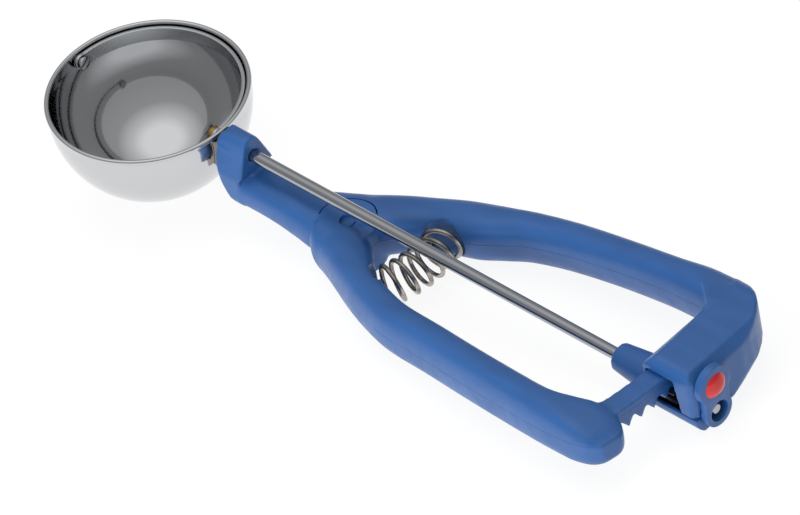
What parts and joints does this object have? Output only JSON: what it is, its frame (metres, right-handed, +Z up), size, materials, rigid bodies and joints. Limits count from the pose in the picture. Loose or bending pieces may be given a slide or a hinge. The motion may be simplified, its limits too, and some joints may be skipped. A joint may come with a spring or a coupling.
{
  "type": "lever ice cream scoop",
  "caption": "Ice cream scoop with a polished round bowl, a sweeping scraper blade and a sprung squeeze lever whose rack turns the drive rod.",
  "frame": {"origin": "point where the outside of the bowl would meet the table, taken under the middle of the rest flat at the handle end; the table plane is z = 0", "axes": "+X from the bowl to the handle end, +Y to the fixed arm, +Z up; the scoop lies on bowl and rear cover with the bowl open upwards"},
  "size_m": [0.2201, 0.063, 0.0317],
  "materials": {
    "blue_plastic": "semi-gloss moulded blue plastic",
    "polished_steel": "polished stainless steel",
    "bracket_steel": "satin stainless steel",
    "blade_steel": "bright stainless strip",
    "hub_brass": "turned brass",
    "rod_steel": "drawn stainless rod",
    "gear_steel": "dark zinc plated gear steel",
    "bush_plastic": "black bearing plastic",
    "spring_steel": "dark spring wire",
    "red_plastic": "glossy moulded red plastic"
  },
  "bodies": {
    "frame": {"handle_frame": "blue_plastic", "housing_cover": "blue_plastic", "bowl": "polished_steel", "bowl_bracket": "bracket_steel", "scraper_rivet": "blade_steel", "rear_bush": "bush_plastic", "spring": "spring_steel", "end_plate": "blue_plastic", "size_plug": "red_plastic"},
    "lever": {"lever": "blue_plastic", "pivot_pin": "blue_plastic"},
    "drive": {"drive_rod": "rod_steel", "pinion": "gear_steel", "scraper_hub": "hub_brass", "scraper_blade": "blade_steel"}
  },
  "joints": [
    {"name": "lever_pivot", "type": "hinge", "parent": "frame", "child": "lever", "pos_m": [-0.11377, 0, 0.00707], "axis": [-0.0464, 0, 0.9989], "range_deg": [0, 6], "stiffness_Nm_per_rad": 0.4, "springref_deg": -14.32, "deforming": ["spring"]},
    {"name": "rod_spin", "type": "hinge", "parent": "frame", "child": "drive", "pos_m": [-0.04174, 0, 0.01054], "axis": [0.9939, 0, -0.1104], "range_deg": [-178, 0]}
  ],
  "couplings": [
    {"joint": "rod_spin", "follows": "lever_pivot", "ratio": -29.473}
  ]
}
